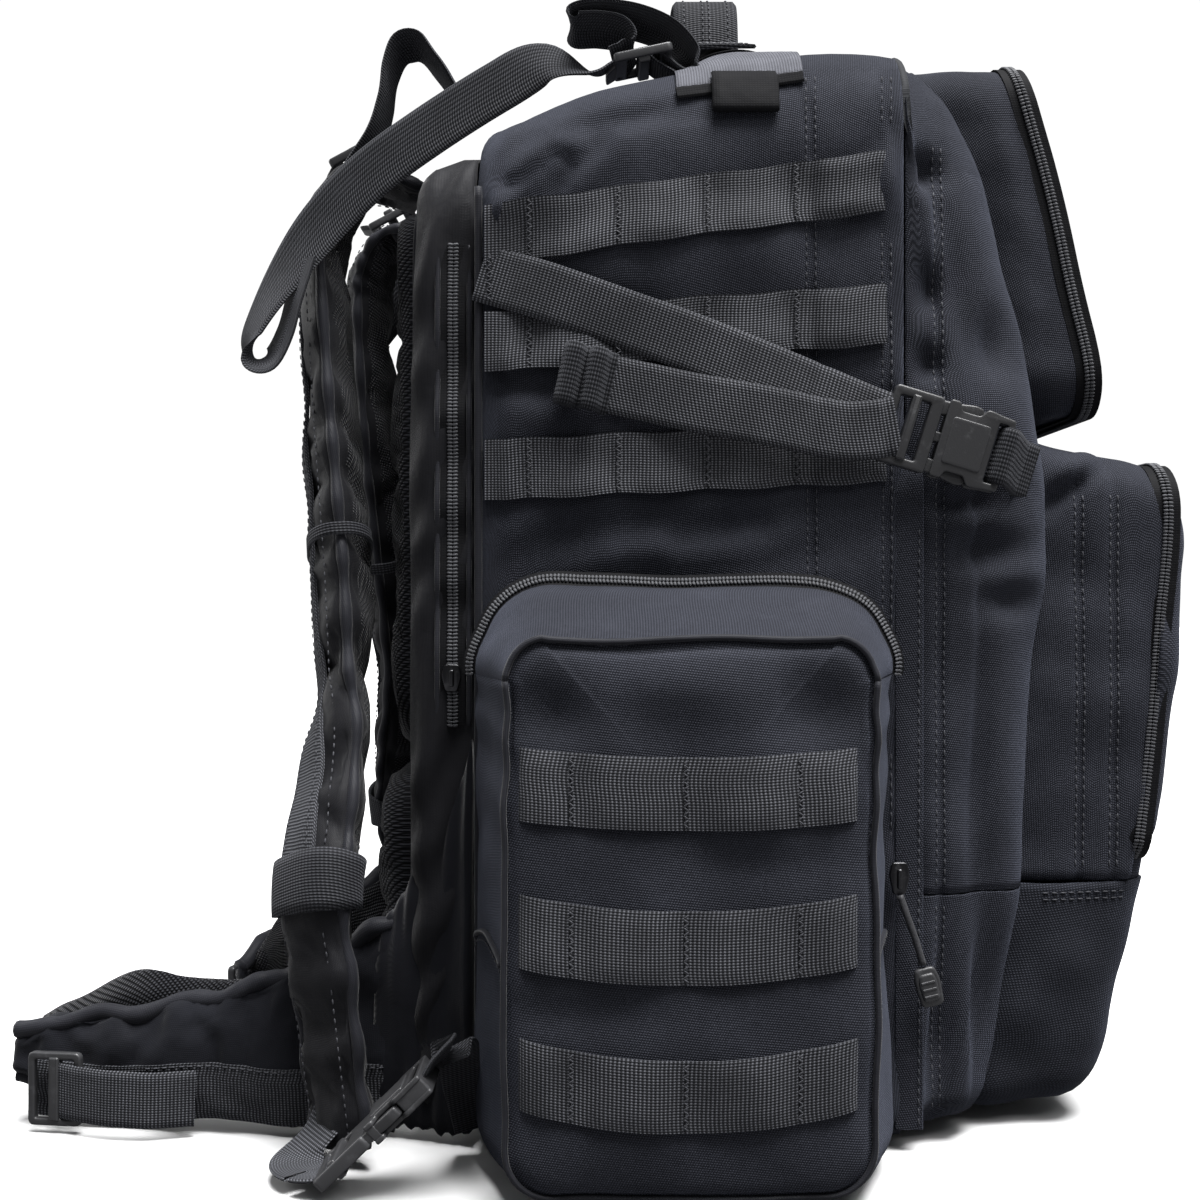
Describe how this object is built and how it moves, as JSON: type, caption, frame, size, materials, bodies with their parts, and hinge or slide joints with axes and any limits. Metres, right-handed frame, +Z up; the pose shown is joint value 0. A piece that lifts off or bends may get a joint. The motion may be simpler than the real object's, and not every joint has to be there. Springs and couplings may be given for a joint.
{
  "type": "trauma backpack",
  "caption": "Black clamshell trauma backpack with side pouches, front pockets, webbing rows, compression straps, shoulder straps and a padded hip belt.",
  "frame": {"origin": "under the middle of the pack on the surface it stands on", "axes": "+Z up; the front pockets face -Y and the harness faces +Y; the wearer's left is -X"},
  "size_m": [0.4892, 0.5402, 0.5399],
  "materials": {
    "black_nylon": "matte",
    "smooth_fabric": "matte",
    "base_fabric": "matte",
    "spacer_mesh": "matte",
    "webbing": "matte",
    "buckle_plastic": "satin",
    "frame_plastic": "matte",
    "stay_aluminium": "satin",
    "zipper_metal": "satin"
  },
  "bodies": {
    "pack": {"base_panel": "base_fabric", "main_compartment": "black_nylon", "rear_compartment": "smooth_fabric", "frame_sheet": "frame_plastic", "stay_left": "stay_aluminium", "stay_right": "stay_aluminium", "back_pad": "spacer_mesh", "lumbar_pad": "spacer_mesh", "side_webbing_left_1": "webbing", "side_webbing_left_2": "webbing", "side_webbing_left_3": "webbing", "side_webbing_right_1": "webbing", "side_webbing_right_2": "webbing", "side_webbing_right_3": "webbing", "side_pouch_left": "black_nylon", "side_pouch_right": "black_nylon", "pouch_webbing_left_1": "webbing", "pouch_webbing_left_2": "webbing", "pouch_webbing_left_3": "webbing", "pouch_webbing_right_1": "webbing", "pouch_webbing_right_2": "webbing", "pouch_webbing_right_3": "webbing", "front_base": "black_nylon", "lower_pocket_base": "black_nylon", "load_lifter_left": "webbing", "load_lifter_right": "webbing", "top_ladder_lock_left": "buckle_plastic", "top_ladder_lock_right": "buckle_plastic", "release_socket_left": "buckle_plastic", "release_socket_right": "buckle_plastic", "release_webbing_left": "webbing", "release_webbing_right": "webbing", "compression_strap_left": "webbing", "compression_strap_right": "webbing"},
    "front_panel": {"front_compartment": "black_nylon", "upper_pocket": "black_nylon", "lower_pocket": "black_nylon", "compression_buckle_female_left": "buckle_plastic", "compression_buckle_female_right": "buckle_plastic"},
    "upper_cover": {"upper_pocket_cover": "black_nylon"},
    "lower_cover": {"lower_pocket_cover": "black_nylon"},
    "pouch_lid_left": {"side_pouch_lid_left": "black_nylon"},
    "pouch_lid_right": {"side_pouch_lid_right": "black_nylon"},
    "handle": {"carry_handle": "webbing"},
    "strap_left": {"shoulder_strap_left": "black_nylon", "strap_ladder_lock_left": "buckle_plastic", "release_plug_left": "buckle_plastic"},
    "strap_right": {"shoulder_strap_right": "black_nylon", "strap_ladder_lock_right": "buckle_plastic", "release_plug_right": "buckle_plastic"},
    "wing_left": {"belt_wing_left": "black_nylon", "belt_webbing_left": "webbing"},
    "wing_right": {"belt_wing_right": "black_nylon", "belt_webbing_right": "webbing"},
    "compression_left": {"compression_buckle_male_left": "buckle_plastic"},
    "compression_right": {"compression_buckle_male_right": "buckle_plastic"},
    "main_slider": {"main_zipper_slider": "zipper_metal", "pull_cord": "webbing", "pull_cord_end": "buckle_plastic"},
    "rear_slider": {"rear_zipper_slider": "zipper_metal"}
  },
  "joints": [
    {"name": "front_panel_hinge", "type": "hinge", "parent": "pack", "child": "front_panel", "pos_m": [0, -0.2535, 0.1118], "axis": [1, 0, 0], "range_deg": [0, 80]},
    {"name": "upper_cover_hinge", "type": "hinge", "parent": "front_panel", "child": "upper_cover", "pos_m": [0, -0.234, 0.3266], "axis": [1, 0, 0], "range_deg": [0, 70]},
    {"name": "lower_cover_hinge", "type": "hinge", "parent": "front_panel", "child": "lower_cover", "pos_m": [0, -0.2575, 0.1215], "axis": [1, 0, 0], "range_deg": [0, 40]},
    {"name": "pouch_lid_left_hinge", "type": "hinge", "parent": "pack", "child": "pouch_lid_left", "pos_m": [-0.2414, -0.0355, 0.2122], "axis": [0, -1, 0], "range_deg": [0, 110]},
    {"name": "pouch_lid_right_hinge", "type": "hinge", "parent": "pack", "child": "pouch_lid_right", "pos_m": [0.2414, -0.0355, 0.2122], "axis": [0, 1, 0], "range_deg": [0, 110]},
    {"name": "handle_swing", "type": "hinge", "parent": "pack", "child": "handle", "pos_m": [0, -0.0525, 0.4925], "axis": [1, 0, 0], "range_deg": [-60, 60]},
    {"name": "strap_left_swing", "type": "hinge", "parent": "pack", "child": "strap_left", "pos_m": [-0.06, 0.0885, 0.4375], "axis": [1, 0, 0], "range_deg": [0, 25], "deforming": ["load_lifter_left"]},
    {"name": "strap_right_swing", "type": "hinge", "parent": "pack", "child": "strap_right", "pos_m": [0.06, 0.0885, 0.4375], "axis": [1, 0, 0], "range_deg": [0, 25], "deforming": ["load_lifter_right"]},
    {"name": "wing_left_fold", "type": "hinge", "parent": "pack", "child": "wing_left", "pos_m": [-0.139, 0.0915, 0.05], "axis": [0, 0, 1], "range_deg": [-28, 12]},
    {"name": "wing_right_fold", "type": "hinge", "parent": "pack", "child": "wing_right", "pos_m": [0.139, 0.0915, 0.05], "axis": [0, 0, 1], "range_deg": [-22, 0]},
    {"name": "compression_left_release", "type": "slide", "parent": "pack", "child": "compression_left", "axis": [0, 0.9563, 0.2924], "range_m": [0, 0.03], "deforming": ["compression_strap_left"]},
    {"name": "compression_right_release", "type": "slide", "parent": "pack", "child": "compression_right", "axis": [0, 0.9563, 0.2924], "range_m": [0, 0.03], "deforming": ["compression_strap_right"]},
    {"name": "main_zipper_slide", "type": "slide", "parent": "pack", "child": "main_slider", "axis": [0, 0, 1], "range_m": [0, 0.16]},
    {"name": "rear_zipper_slide", "type": "slide", "parent": "pack", "child": "rear_slider", "axis": [0, 0, 1], "range_m": [0, 0.19]}
  ]
}
